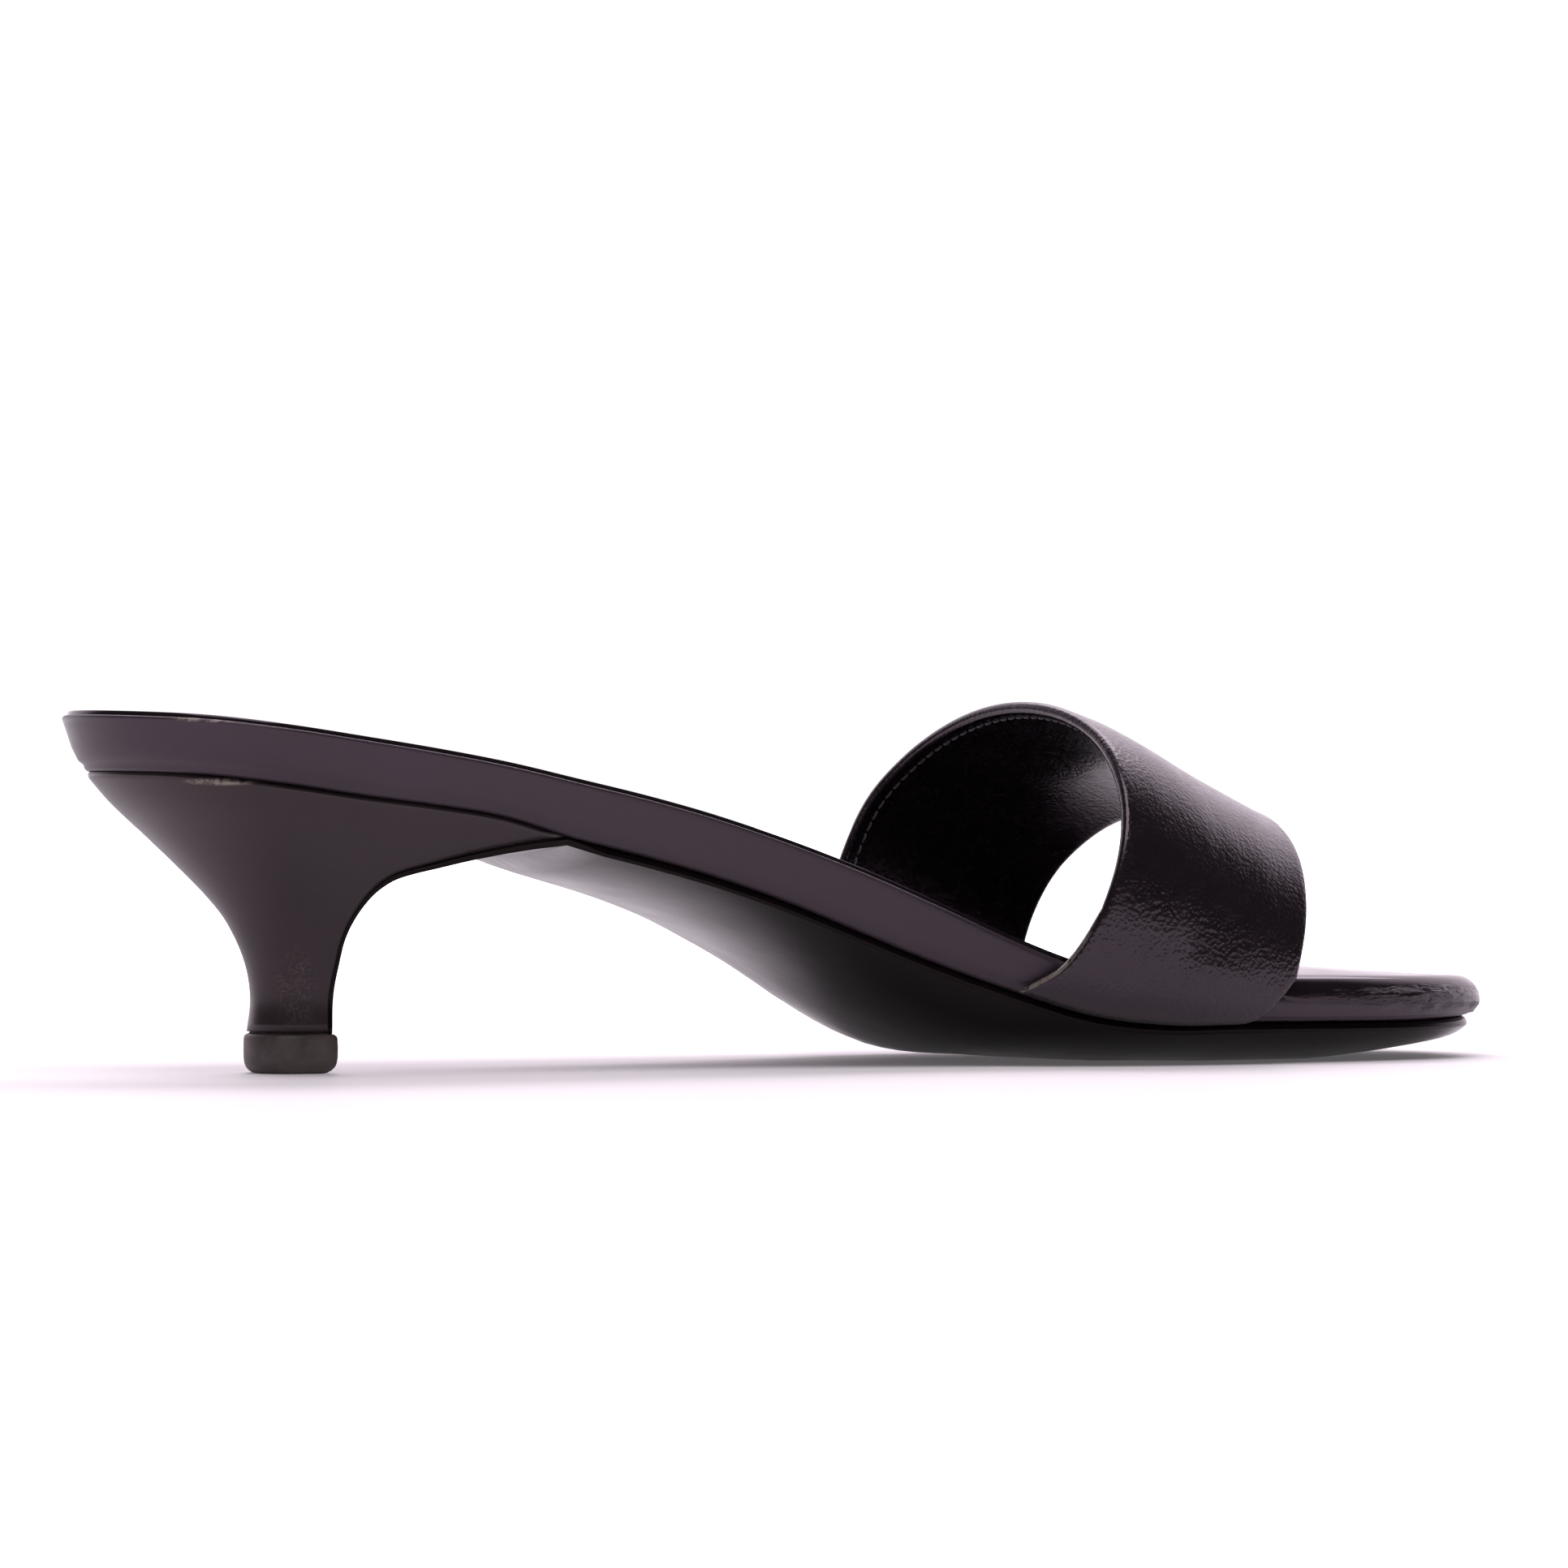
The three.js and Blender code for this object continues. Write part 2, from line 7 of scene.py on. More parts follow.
import bmesh
import bpy
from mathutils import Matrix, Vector


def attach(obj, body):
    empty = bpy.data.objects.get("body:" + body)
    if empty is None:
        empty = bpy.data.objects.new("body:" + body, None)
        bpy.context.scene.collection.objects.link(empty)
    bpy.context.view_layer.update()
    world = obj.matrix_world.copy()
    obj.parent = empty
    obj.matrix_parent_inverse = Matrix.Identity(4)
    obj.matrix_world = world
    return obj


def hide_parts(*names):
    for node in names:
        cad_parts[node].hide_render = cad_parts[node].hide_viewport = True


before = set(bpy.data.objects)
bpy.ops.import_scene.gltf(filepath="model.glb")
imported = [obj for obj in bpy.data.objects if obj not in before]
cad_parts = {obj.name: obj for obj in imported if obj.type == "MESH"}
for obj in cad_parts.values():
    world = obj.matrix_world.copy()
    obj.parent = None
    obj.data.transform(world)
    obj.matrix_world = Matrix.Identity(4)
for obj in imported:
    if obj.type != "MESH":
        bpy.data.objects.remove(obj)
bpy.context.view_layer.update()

mm = 0.001
shoeCentre = (119.25, -0.754)  # middle of the whole shoe, in the heel-end frame


# Smooth curve through rows of (at, value)
def curveThrough(rows):
    ats = [row[0] for row in rows]
    values = [row[1] for row in rows]
    slopes = []
    for i in range(len(rows)):
        low, high = max(0, i - 1), min(len(rows) - 1, i + 1)
        slopes.append((values[high] - values[low]) / (ats[high] - ats[low]))

    def valueAt(at):
        at = min(max(at, ats[0]), ats[-1])
        i = min(max(bisect_right(ats, at) - 1, 0), len(rows) - 2)
        span = ats[i + 1] - ats[i]
        t = (at - ats[i]) / span
        bendIn = t * t * (3 - 2 * t)
        start = t * (1 - t) ** 2 * slopes[i] * span
        end = t * t * (t - 1) * slopes[i + 1] * span
        return values[i] + (values[i + 1] - values[i]) * bendIn + start + end

    return valueAt


def mix(a, b, t):
    return a + (b - a) * t


def clamp(value, low=0.0, high=1.0):
    return min(max(value, low), high)


# Shares of the length, closer together at the round ends
def shares(count):
    return [(1 - math.cos(math.pi * i / count)) / 2 for i in range(count + 1)]


# The last: sizes in mm, then half widths and the side view by share of the length
last = {
    "length": 238.5, "seatHeight": 45.6, "treadHeight": 6.6,
    "seatRound": 27, "toeRound": 42, "toeSquareness": 2.6,
    "waistTwist": 2.6,  # how much lower the outer edge lies at the waist
    "bedThickness": 8.8, "sockThickness": 0.9,
    "gap": 0.3,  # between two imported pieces
    "wallLean": 3,  # how far the wall leans in below
    "wallBend": 0.45,  # share of its height where it bends
    "toeRim": 2.4, "toeCrown": 1.6,
}
medialHalf = curveThrough([
    (0, 26.5), (0.1, 26.5), (0.2, 25.97), (0.33, 24.44), (0.43, 24.18), (0.52, 27.56), (0.6, 32.19),
    (0.68, 36.65), (0.75, 38.19), (0.83, 36.96), (0.9, 35.04), (1, 33.11)])
lateralHalf = curveThrough([
    (0, 26.5), (0.1, 26.5), (0.2, 26.5), (0.33, 26.52), (0.43, 28.08), (0.52, 31.72), (0.6, 35.04),
    (0.68, 37.19), (0.75, 37.27), (0.83, 35.04), (0.9, 32.73), (1, 30.03)])
# at, rise, thickness, depth of the sole, lean, rim, crown, twist
sideView = [
    (0, 1, 1.01, 0.4, 1, 0.2, -0.3, 0),
    (0.05, 0.985, 0.985, 0.4, 1, 0.2, -0.3, 0),
    (0.1, 0.948, 0.98, 0.4, 0.95, 0.2, -0.3, 0),
    (0.15, 0.905, 0.98, 0.4, 0.9, 0.2, -0.25, 0),
    (0.2, 0.868, 0.945, 0.4, 0.8, 0.2, -0.2, 0),
    (0.25, 0.822, 0.92, 0.4, 0.7, 0.2, -0.1, 0),
    (0.3, 0.738, 1.01, 0.46, 0.6, 0.2, 0, 0.12),
    (0.35, 0.668, 1.03, 0.46, 0.5, 0.2, 0.05, 0.36),
    (0.4, 0.59, 1.035, 0.46, 0.5, 0.2, 0.1, 0.5),
    (0.45, 0.492, 1.045, 0.5, 0.5, 0.2, 0.2, 0.6),
    (0.5, 0.37, 1.08, 0.66, 0.5, 0.28, 0.3, 0.78),
    (0.55, 0.246, 1.04, 1.1, 0.5, 0.35, 0.5, 1),
    (0.6, 0.133, 0.92, 1.28, 0.45, 0.45, 0.7, 0.95),
    (0.65, 0.035, 0.85, 1.01, 0.4, 0.6, 0.9, 0.45),
    (0.7, 0, 0.79, 0.985, 0.4, 0.75, 1, 0.1),
    (0.75, 0, 0.73, 1.06, 0.4, 0.9, 1, 0),
    (0.84, -0.004, 0.705, 1.06, 0.35, 1, 1, 0),
    (0.9, -0.006, 0.695, 0.9, 0.35, 1, 0.9, 0),
    (0.96, 0, 0.665, 0.7, 0.35, 1, 0.6, 0),
    (1, 0.004, 0.62, 0.56, 0.35, 1, 0.3, 0),
]


def sideCurve(column, scale, base=0.0):
    return curveThrough([(row[0], base + row[column] * scale) for row in sideView])


riseAt = sideCurve(1, last["seatHeight"] - last["treadHeight"], last["treadHeight"])
thickAt = sideCurve(2, last["bedThickness"])
deepAt = sideCurve(3, last["treadHeight"])
leanAt = sideCurve(4, last["wallLean"])
rimAt = sideCurve(5, last["toeRim"])
crownAt = sideCurve(6, last["toeCrown"])
twistAt = sideCurve(7, last["waistTwist"])


def underside(x):
    return riseAt(x / last["length"])


def bedTop(x):
    return underside(x) + thickAt(x / last["length"]) - last["sockThickness"] - last["gap"]


# Height of the footbed's top, crowned or dished between its rims
def bedSurface(x, side):
    return bedTop(x) + crownAt(x / last["length"]) * (1 - side ** 2)


# How far the wall lies in at a share of its height
def leanIn(lean, up):
    bend = last["wallBend"]
    if up < bend:
        return mix(lean, lean * bend, up / bend)
    return mix(lean * bend, 0, (up - bend) / (1 - bend))


# A point of the footprint; side is -1 on the inner edge of the foot, 1 on the outer one
def onPrint(along, side, inset):
    heelShare = max(0, 1 - along * last["length"] / last["seatRound"])
    toeShare = max(0, 1 - (1 - along) * last["length"] / last["toeRound"])
    square = last["toeSquareness"]
    ends = math.sqrt(max(0, 1 - heelShare ** 2)) * max(0, 1 - toeShare ** square) ** (1 / square)
    half = ((medialHalf(along) + lateralHalf(along)) / 2 - inset) * ends
    middle = (lateralHalf(along) - medialHalf(along)) / 2
    return inset + along * (last["length"] - 2 * inset), middle + side * half


# From the heel-end frame in millimetres to Blender's, with the waist's twist
def placed(x, y, z):
    at = clamp(x / last["length"])
    share = clamp((y + medialHalf(at)) / (medialHalf(at) + lateralHalf(at)))
    z = max(0, z - max(0, twistAt(at)) * share)
    return Vector(((x - shoeCentre[0]) * mm, (y - shoeCentre[1]) * mm, z * mm))


# A closed skin extruded from ring to ring, with both ends filled; marks go to a layer that the leather reads
def skinThrough(bm, rings, marks=None):
    faceLayer = bm.verts.layers.float.get("faceLayer") or bm.verts.layers.float.new("faceLayer")
    loop = bmesh.ops.create_circle(bm, cap_ends=False, radius=0.01, segments=len(rings[0]))["verts"]
    edges = list(dict.fromkeys(edge for vert in loop for edge in vert.link_edges))

    def settle(ring):
        for i, (vert, place) in enumerate(zip(loop, ring)):
            vert.co = place
            vert[faceLayer] = marks[i] if marks else 0.0

    settle(rings[0])
    first = edges
    for ring in rings[1:]:
        made = bmesh.ops.extrude_edge_only(bm, edges=edges)["geom"]
        fresh = {item for item in made if isinstance(item, bmesh.types.BMVert)}
        loop = [next(e.other_vert(v) for e in v.link_edges if e.other_vert(v) in fresh) for v in loop]
        settle(ring)
        edges = [item for item in made if isinstance(item, bmesh.types.BMEdge)
                 and all(v in fresh for v in item.verts)]
    for end in (first, edges):
        bmesh.ops.holes_fill(bm, edges=end, sides=0)


# Joins points closer than merge, in metres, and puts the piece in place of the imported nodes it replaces
def finishPiece(name, bm, material, replaces=(), merge=0.00002):
    bmesh.ops.remove_doubles(bm, verts=bm.verts[:], dist=merge)
    bmesh.ops.dissolve_degenerate(bm, edges=bm.edges[:], dist=merge)
    bmesh.ops.recalc_face_normals(bm, faces=bm.faces[:])
    mesh = bpy.data.meshes.new(name)
    bm.to_mesh(mesh)
    bm.free()
    mesh.materials.append(material)
    for face in mesh.polygons:
        face.use_smooth = True
    piece = bpy.data.objects.new(name, mesh)
    bpy.context.scene.collection.objects.link(piece)
    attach(piece, "root")
    if replaces:
        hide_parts(*replaces)


# Linear colour from a hex code
def srgb(code):
    channels = [int(code[i:i + 2], 16) / 255 for i in (1, 3, 5)]
    return tuple(c / 12.92 if c <= 0.04045 else ((c + 0.055) / 1.055) ** 2.4 for c in channels) + (1.0,)


def lighter(code, by):
    return "#" + "".join("%02x" % min(255, round(int(code[i:i + 2], 16) * by)) for i in (1, 3, 5))


# A node with its settings: fields of the node, values of its sockets, or sockets that feed them
def addNode(tree, kind, settings=()):
    node = tree.nodes.new(kind)
    for key, value in dict(settings).items():
        if isinstance(key, str) and hasattr(node, key):
            setattr(node, key, value)
        elif isinstance(value, bpy.types.NodeSocket):
            tree.links.new(value, node.inputs[key])
        else:
            node.inputs[key].default_value = value
    return node


# A material with its tree, its shader and the coordinates that its textures lie in
def newMaterial(name, settings):
    material = bpy.data.materials.new(name)
    material.use_nodes = True
    tree = material.node_tree
    tree.nodes.clear()
    shader = addNode(tree, "ShaderNodeBsdfPrincipled", settings)
    addNode(tree, "ShaderNodeOutputMaterial", {"Surface": shader.outputs[0]})
    return material, tree, shader, addNode(tree, "ShaderNodeTexCoord").outputs["Object"]


def noise(tree, coords, scale, detail, roughness=0.5, distortion=0.0, output="Fac"):
    return addNode(tree, "ShaderNodeTexNoise", {
        "Scale": scale, "Detail": detail, "Roughness": roughness, "Distortion": distortion, "Vector": coords,
    }).outputs[output]


# Relief of a height given in metres, on top of the relief below
def bump(tree, height, strength, distance, below=None):
    settings = {"Height": height, "Strength": strength, "Distance": distance}
    if below is not None:
        settings["Normal"] = below
    return addNode(tree, "ShaderNodeBump", settings).outputs[0]


# A value carried from one range to another, and held at its ends
def mapped(tree, source, fromRange, toRange, shape="LINEAR"):
    return addNode(tree, "ShaderNodeMapRange", {
        "interpolation_type": shape, "From Min": fromRange[0], "From Max": fromRange[1],
        "To Min": toRange[0], "To Max": toRange[1], "Value": source,
    }).outputs[0]


def distanceFrom(tree, coords):
    return addNode(tree, "ShaderNodeVectorMath", {"operation": "LENGTH", 0: coords}).outputs["Value"]


def times(tree, first, second):
    return addNode(tree, "ShaderNodeMath", {"operation": "MULTIPLY", 0: first, 1: second}).outputs[0]


# Colour ramp through stops of position and hex code, or of position and grey
def ramp(tree, source, stops):
    node = addNode(tree, "ShaderNodeValToRGB", {0: source})
    elements = node.color_ramp.elements
    while len(elements) < len(stops):
        elements.new(0.5)
    for element, (at, colour) in zip(elements, stops):
        element.position = at
        element.color = srgb(colour) if isinstance(colour, str) else (colour, colour, colour, 1)
    return node.outputs[0]


# Two colours, each a socket or a hex code, mixed by a factor
def mixed(tree, factor, first, second):
    a, b = [srgb(value) if isinstance(value, str) else value for value in (first, second)]
    return addNode(tree, "ShaderNodeMix", {"data_type": "RGBA", 0: factor, 6: a, 7: b}).outputs[2]


# Where the leather is rubbed, and where a highlight is painted on the band's fold: middle, radii, and the stops
# that cut the mark out of fine noise.
# A rub is blotches above a level of the noise, and crackle is its thin contour lines.
rub = ((0.4, 0), (0.56, 1))
crackle = ((0.48, 0), (0.5, 0.3), (0.52, 0))
rubsAndHighlights = {
    # The fold's spot is no rub: it is a painted highlight on the turned rear edge
    "foldEndHighlight": ((0.024, -0.037, 0.014), (0.013, 0.012, 0.013), ((0.36, 0), (0.5, 1))),
    "topEdge": ((-0.1065, -0.0215, 0.0531), (0.0065, 0.008, 0.0007), rub),
    "heelSeam": ((-0.105, -0.0203, 0.0438), (0.0065, 0.008, 0.0007), rub),
    "neck": ((-0.0862, -0.006, 0.0125), (0.004, 0.0045, 0.0075), crackle),
}


def rubAndHighlightSpot(tree, coords, name):
    centre, radii, stops = rubsAndHighlights[name]
    shifted = addNode(tree, "ShaderNodeMapping", {
        "vector_type": "POINT", "Location": [-c / r for c, r in zip(centre, radii)],
        "Scale": [1 / r for r in radii], "Vector": coords})
    spot = mapped(tree, distanceFrom(tree, shifted.outputs[0]), (0.55, 1), (1, 0))  # fades out at its radii
    return times(tree, spot, ramp(tree, noise(tree, coords, 700, 6, 0.65), stops))


lilac, rose = "#ffe6f9", "#ffebf0"  # the dyed finishes tint what the leather mirrors
faceMarks = {"outer": 0.0, "lining": 0.4, "fold": 1.0}  # by which the band's leather tells its faces apart


# Fine-grained calf, plated and polished: cells about 0.7 mm wide with soft valleys, a high gloss, and a pale
# highlight painted on its rear fold
def grainedCalf(tone, foldHighlightTone):
    material, tree, shader, coords = newMaterial("grained calf, polished", {
        "Base Color": srgb(tone), "Roughness": 0.24, "IOR": 1.5, "Specular Tint": srgb(lilac),
        "Coat Weight": 0.2, "Coat Roughness": 0.16})
    face = addNode(tree, "ShaderNodeAttribute", {"attribute_name": "faceLayer"}).outputs["Fac"]
    warp = noise(tree, coords, 420, 3, output="Color")
    bent = addNode(tree, "ShaderNodeMix", {"data_type": "VECTOR", "Factor": 0.0012, 4: coords, 5: warp})
    cells = addNode(tree, "ShaderNodeTexVoronoi", {
        "feature": "SMOOTH_F1", "Scale": 1500, "Smoothness": 0.4, "Vector": bent.outputs[1]})
    creases = noise(tree, coords, 300, 3, distortion=1.2)
    grainy = mapped(tree, face, (0.1, faceMarks["lining"]), (0.75, 0.3))  # the lining has hardly any grain
    grain = bump(tree, cells.outputs["Distance"], grainy, 0.00012)
    tree.links.new(bump(tree, creases, 0.3, 0.00007, grain), shader.inputs["Normal"])
    tree.links.new(mapped(tree, creases, (0.35, 0.7), (0.2, 0.3)), shader.inputs["Roughness"])
    # Painted highlight: a pale patch on the fold of the rear edge, most at its low end, where the turned edge
    # catches the light
    onFold = mapped(tree, face, (0.75, faceMarks["fold"]), (0, 1))
    foldHighlight = times(tree, onFold, rubAndHighlightSpot(tree, coords, "foldEndHighlight"))
    tree.links.new(mixed(tree, foldHighlight, tone, foldHighlightTone), shader.inputs["Base Color"])
    return material


# Crinkles where the leather is gathered round the toe: long along the edge, fine across it
def gatheredToe(tree, coords, below, height):
    drawn = addNode(tree, "ShaderNodeMapping", {
        "Rotation": (0, 0.12, 0), "Scale": (260, 260, 1300), "Vector": coords})
    crinkles = noise(tree, drawn.outputs[0], 1, 4, 0.55, 0.9)
    place = addNode(tree, "ShaderNodeSeparateXYZ", {0: coords})
    toe = mapped(tree, place.outputs["X"], (0.066, 0.088), (0, height))
    rim = mapped(tree, place.outputs["Z"], (0.0113, 0.0122), (1, 0.03))
    return bump(tree, crinkles, times(tree, toe, rim), 0.0005, below)


# Smooth calf drawn tight over board: a satin surface with hardly any grain, a few pale rubs
def smoothCalf(name, tone, roughness, rubs=(), rubTone=None, shine=0.5, finish=lilac, gathered=0, relief=1):
    material, tree, shader, coords = newMaterial(name, {
        "Base Color": srgb(tone), "Roughness": roughness, "IOR": 1.5, "Specular IOR Level": shine,
        "Specular Tint": srgb(finish)})
    pores = noise(tree, coords, 1500, 3, 0.6)
    waves = noise(tree, coords, 60, 4)
    surface = bump(tree, pores, 0.18 * relief, 0.00008)
    surface = bump(tree, waves, 0.12 * relief, 0.0008, surface)
    if gathered:
        surface = gatheredToe(tree, coords, surface, gathered)
    tree.links.new(surface, shader.inputs["Normal"])
    satin = mapped(tree, waves, (0.3, 0.7), (roughness - 0.05, roughness + 0.06))
    tree.links.new(satin, shader.inputs["Roughness"])
    colour = ramp(tree, waves, [(0.3, tone), (0.75, lighter(tone, 1.18))])  # faintly clouded
    for scuff in rubs:
        colour = mixed(tree, rubAndHighlightSpot(tree, coords, scuff), colour, rubTone)
    tree.links.new(colour, shader.inputs["Base Color"])
    return material


# Vulcanised rubber, moulded: matt brown-black
def mouldedRubber():
    material, tree, shader, coords = newMaterial("moulded rubber", {
        "Base Color": srgb("#423b39"), "Roughness": 0.5, "IOR": 1.52})
    grit = noise(tree, coords, 1800, 4)
    tree.links.new(bump(tree, grit, 0.3, 0.0001), shader.inputs["Normal"])
    colour = ramp(tree, noise(tree, coords, 160, 6, 0.7), [(0.3, "#3a3331"), (0.7, "#5e5451")])
    tree.links.new(colour, shader.inputs["Base Color"])
    return material


# Bonded nylon thread, grey-black and slightly glossy
def nylonThread():
    material, tree, shader, coords = newMaterial("nylon thread", {
        "Base Color": srgb("#4d494e"), "Roughness": 0.4, "IOR": 1.53})
    tree.links.new(bump(tree, noise(tree, coords, 2500, 2), 0.4, 0.0001), shader.inputs["Normal"])
    return material


# The second colour is a painted highlight on the band's rear fold
bandLeather = grainedCalf("#120e11", "#6f6961")
wallLeather = smoothCalf("smooth calf over board", "#2c262b", 0.4, ["topEdge"], "#8d877b", gathered=0.35)
sockLeather = smoothCalf("lining calf", "#120f11", 0.13, gathered=1, relief=0.25)
heelLeather = smoothCalf("smooth calf over a moulded block", "#221d1f", 0.34, ["heelSeam", "neck"], "#7f796e",
                         finish=rose)
soleLeather = smoothCalf("dressed sole leather", "#0b0808", 0.2, shine=0.13, finish=rose)
topPieceRubber = mouldedRubber()
thread = nylonThread()
print("stage: materials")


# Footbed: the wrapped board, its rim padded at the toe
footbed = {
    "stations": 120, "across": 20, "rimRise": 0.5,
    "seam": ((2.2, -0.1), (1.2, -0.06), (0.65, 0.1), (0.25, 0.42), (0.06, 0.9)),  # inwards and up at its foot
    "wallUps": (0.2, 0.32, last["wallBend"], 0.6, 0.75, 0.88, 1),  # shares of the wall's height
    "rimTurns": (0.25, 0.5, 0.75, 0.92),  # shares of the quarter turn over the rim
    "rimWide": 0.9, "rimHigh": 0.985,  # what the turn takes of the rim
    "topReach": 0.985,  # share of the width that the top takes between its rims
    "rollFrom": 0.72, "rollTo": 0.8,  # where the sock begins and ends to be drawn over the rim
    "backRoll": 0.6, "backReach": 10,  # the seams are rolled in less within this reach of the heel end
    "creaseDepth": 0.4, "creaseFrom": 0.8, "creaseFull": 0.9, "creaseUp": 0.62, "creaseWide": 0.16,
    "creaseTop": 0.8,  # the wall's top, on the scale that creaseUp is given in
    "creaseRate": 0.55, "creaseShift": 2.1,  # radians along each mm, and from the middle to a side
    "creaseWander": 0.6,  # share of the long wave
}


# The leather is rolled in along the seams, less so round the back of the heel
def seamRoll(along):
    return clamp(along * last["length"] / footbed["backReach"], footbed["backRoll"])


# How far the sock is drawn down over the padded rim, from the band to the toe
def rollShare(at):
    share = clamp((at - footbed["rollFrom"]) / (footbed["rollTo"] - footbed["rollFrom"]))
    return share * share * (3 - 2 * share)


# Low wrinkles where the wrap is gathered round the toe: a long wave that wanders, and a short one
def wrinkle(x, side, up):
    ahead = clamp((x / last["length"] - footbed["creaseFrom"]) / (footbed["creaseFull"] - footbed["creaseFrom"]))
    turn = x * footbed["creaseRate"] + side * footbed["creaseShift"]
    longWave = math.sin(turn * 1.9 + 2.3 * math.sin(turn * 0.7))
    shortWave = math.sin(turn * 4.1 + 1.3)
    off = (up - footbed["creaseUp"]) / footbed["creaseWide"]
    height = footbed["creaseDepth"] * ahead * math.exp(-off ** 2)
    return height * mix(shortWave, longWave, footbed["creaseWander"])


def footbedRing(along):
    at = onPrint(along, 0, 0)[0] / last["length"]
    lean, rim = leanAt(at), rimAt(at)

    def wallPoint(side, inset, z):
        x, y = onPrint(along, side, inset)
        return placed(x, y, z)

    def xOf(inset):
        return onPrint(along, 0, inset)[0]

    def wall(side):
        foot = underside(xOf(lean))
        top = bedTop(xOf(0)) - rim + footbed["rimRise"] * (1 - rollShare(at))
        points = []
        for inwards, lift in footbed["seam"]:
            inset = lean + inwards * seamRoll(along)
            points.append(wallPoint(side, inset, underside(xOf(inset)) + lift))
        for up in footbed["wallUps"]:
            fold = wrinkle(xOf(0), side, up * footbed["creaseTop"])
            points.append(wallPoint(side, leanIn(lean, up) + fold, mix(foot, top, up)))
        for turn in footbed["rimTurns"]:
            angle = turn * math.pi / 2
            inwards = rim * footbed["rimWide"] * (1 - math.cos(angle))
            points.append(wallPoint(side, inwards, top + rim * footbed["rimHigh"] * math.sin(angle)))
        return points

    tops = []
    for i in range(footbed["across"] + 1):
        side = mix(-footbed["topReach"], footbed["topReach"], i / footbed["across"])
        x, y = onPrint(along, side, rim)
        tops.append(placed(x, y, bedSurface(x, side)))
    return wall(-1) + tops + wall(1)[::-1]


bm = bmesh.new()
skinThrough(bm, [footbedRing(along) for along in shares(footbed["stations"])])
finishPiece("footbedWrap", bm, wallLeather, ["footbed"])
print("stage: footbed")


# Sock: a thin skin glued on the footbed; before the band it is drawn down over the padded rim
sock = {
    "stations": 150, "across": 20, "margin": 0.15, "edgeRound": 0.3, "edgeTurns": (0, 18, 36, 54, 72),
    "lift": 0.2,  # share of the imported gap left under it; the rest is filled
    "backing": 0.8,  # share of its thickness at which its lower skin lies
    "rollWide": 3.2, "rollOut": 0.16, "rollDown": 0.9, "flatter": 0.65, "crinkle": 0.4,
    "fuller": (0.8, -0.35), "fullerFrom": 0.84, "fullerTo": 0.96,  # the toe's top, raised and then lowered, in mm
}


def sockRing(along):
    edge = onPrint(along, 0, 0)[0]
    at = edge / last["length"]
    rim, rolled = rimAt(at), rollShare(at)
    edgeIn = mix(rim + sock["margin"], -sock["rollOut"], rolled)
    wide = mix(sock["edgeRound"], sock["rollWide"], rolled)
    thickness = last["gap"] * (1 - sock["lift"]) + last["sockThickness"]
    fuller = mix(*sock["fuller"], clamp((at - sock["fullerFrom"]) / (sock["fullerTo"] - sock["fullerFrom"])))

    def onSkin(side, inset, turn, depth):
        x, y = onPrint(along, side, inset + depth)
        share = abs(side)
        crowned = mix(footbed["topReach"], sock["flatter"], rolled) * share
        top = bedSurface(x, crowned) + last["gap"] * sock["lift"] + thickness
        top += rolled * (1 - share ** 2) * fuller
        low = mix(top - thickness, bedTop(edge) - rim * sock["rollDown"], rolled)
        if turn == 0:
            low += rolled * wrinkle(edge, side, footbed["creaseUp"]) * sock["crinkle"]
        z = mix(low, top, math.sin(math.radians(turn)))
        return placed(x, y, z - depth)

    def skin(depth):
        edges = [(edgeIn + wide * (1 - math.cos(math.radians(turn))), turn) for turn in sock["edgeTurns"]]
        flat, count = edgeIn + wide, sock["across"]
        left = [onSkin(-1, inset, turn, depth) for inset, turn in edges]
        tops = [onSkin(-1 + 2 * i / count, flat, 90, depth) for i in range(count + 1)]
        right = [onSkin(1, inset, turn, depth) for inset, turn in edges]
        return left + tops + right[::-1]

    return skin(0) + skin(thickness * sock["backing"])[::-1]


bm = bmesh.new()
skinThrough(bm, [sockRing(along) for along in shares(sock["stations"])])
finishPiece("sockLining", bm, sockLeather, ["sock"])
print("stage: sock")


# Band: outer leather and lining in one folded shell, with a turned rear edge.
# turn goes round the foot from 0, inner side, to 1, outer side; across from the rear edge, 0, to the front, 1.
band = {
    "wall": 2.0, "crestHeight": 57.0, "crestDrop": 19.2, "medialBulge": 2.0, "lateralBulge": 0.4,
    "clear": 1.2,  # gaps between the band and the footbed's wall
    "squareness": 2.1, "lowShare": 0.14,  # share of the turn from the band's foot to its widest line
    "columns": 44, "archRows": 92, "lowRows": 14,
    "edgeRound": 0.7, "edgeTurns": (30, 60, 90, 120, 150),
    "foldAt": 6.0, "foldHeight": 0.06, "foldWide": 1.6, "foldFade": 1.4,  # the leather's step over the turned edge
    "rollTurn": 0.022, "rollShare": 0.75,  # its ends are rolled in at the seam
}
rearAt = curveThrough([(at, share * last["length"]) for at, share in [
    (0, 0.6), (0.05, 0.6235), (0.14, 0.646), (0.2, 0.659), (0.26, 0.669), (0.32, 0.6755), (0.38, 0.6795),
    (0.44, 0.679), (0.5, 0.6755), (0.56, 0.67), (0.62, 0.6615), (0.68, 0.65), (0.74, 0.637), (0.8, 0.6275),
    (0.86, 0.618), (0.95, 0.599), (1, 0.586)]])
frontAt = curveThrough([(at, share * last["length"]) for at, share in [
    (0, 0.7485), (0.02, 0.76), (0.05, 0.769), (0.09, 0.7775), (0.14, 0.786), (0.2, 0.797), (0.26, 0.8065),
    (0.32, 0.8155), (0.38, 0.823), (0.44, 0.8265), (0.5, 0.821), (0.56, 0.8095), (0.62, 0.8), (0.68, 0.7915),
    (0.74, 0.782), (0.8, 0.774), (0.86, 0.7665), (0.95, 0.751), (1, 0.738)]])
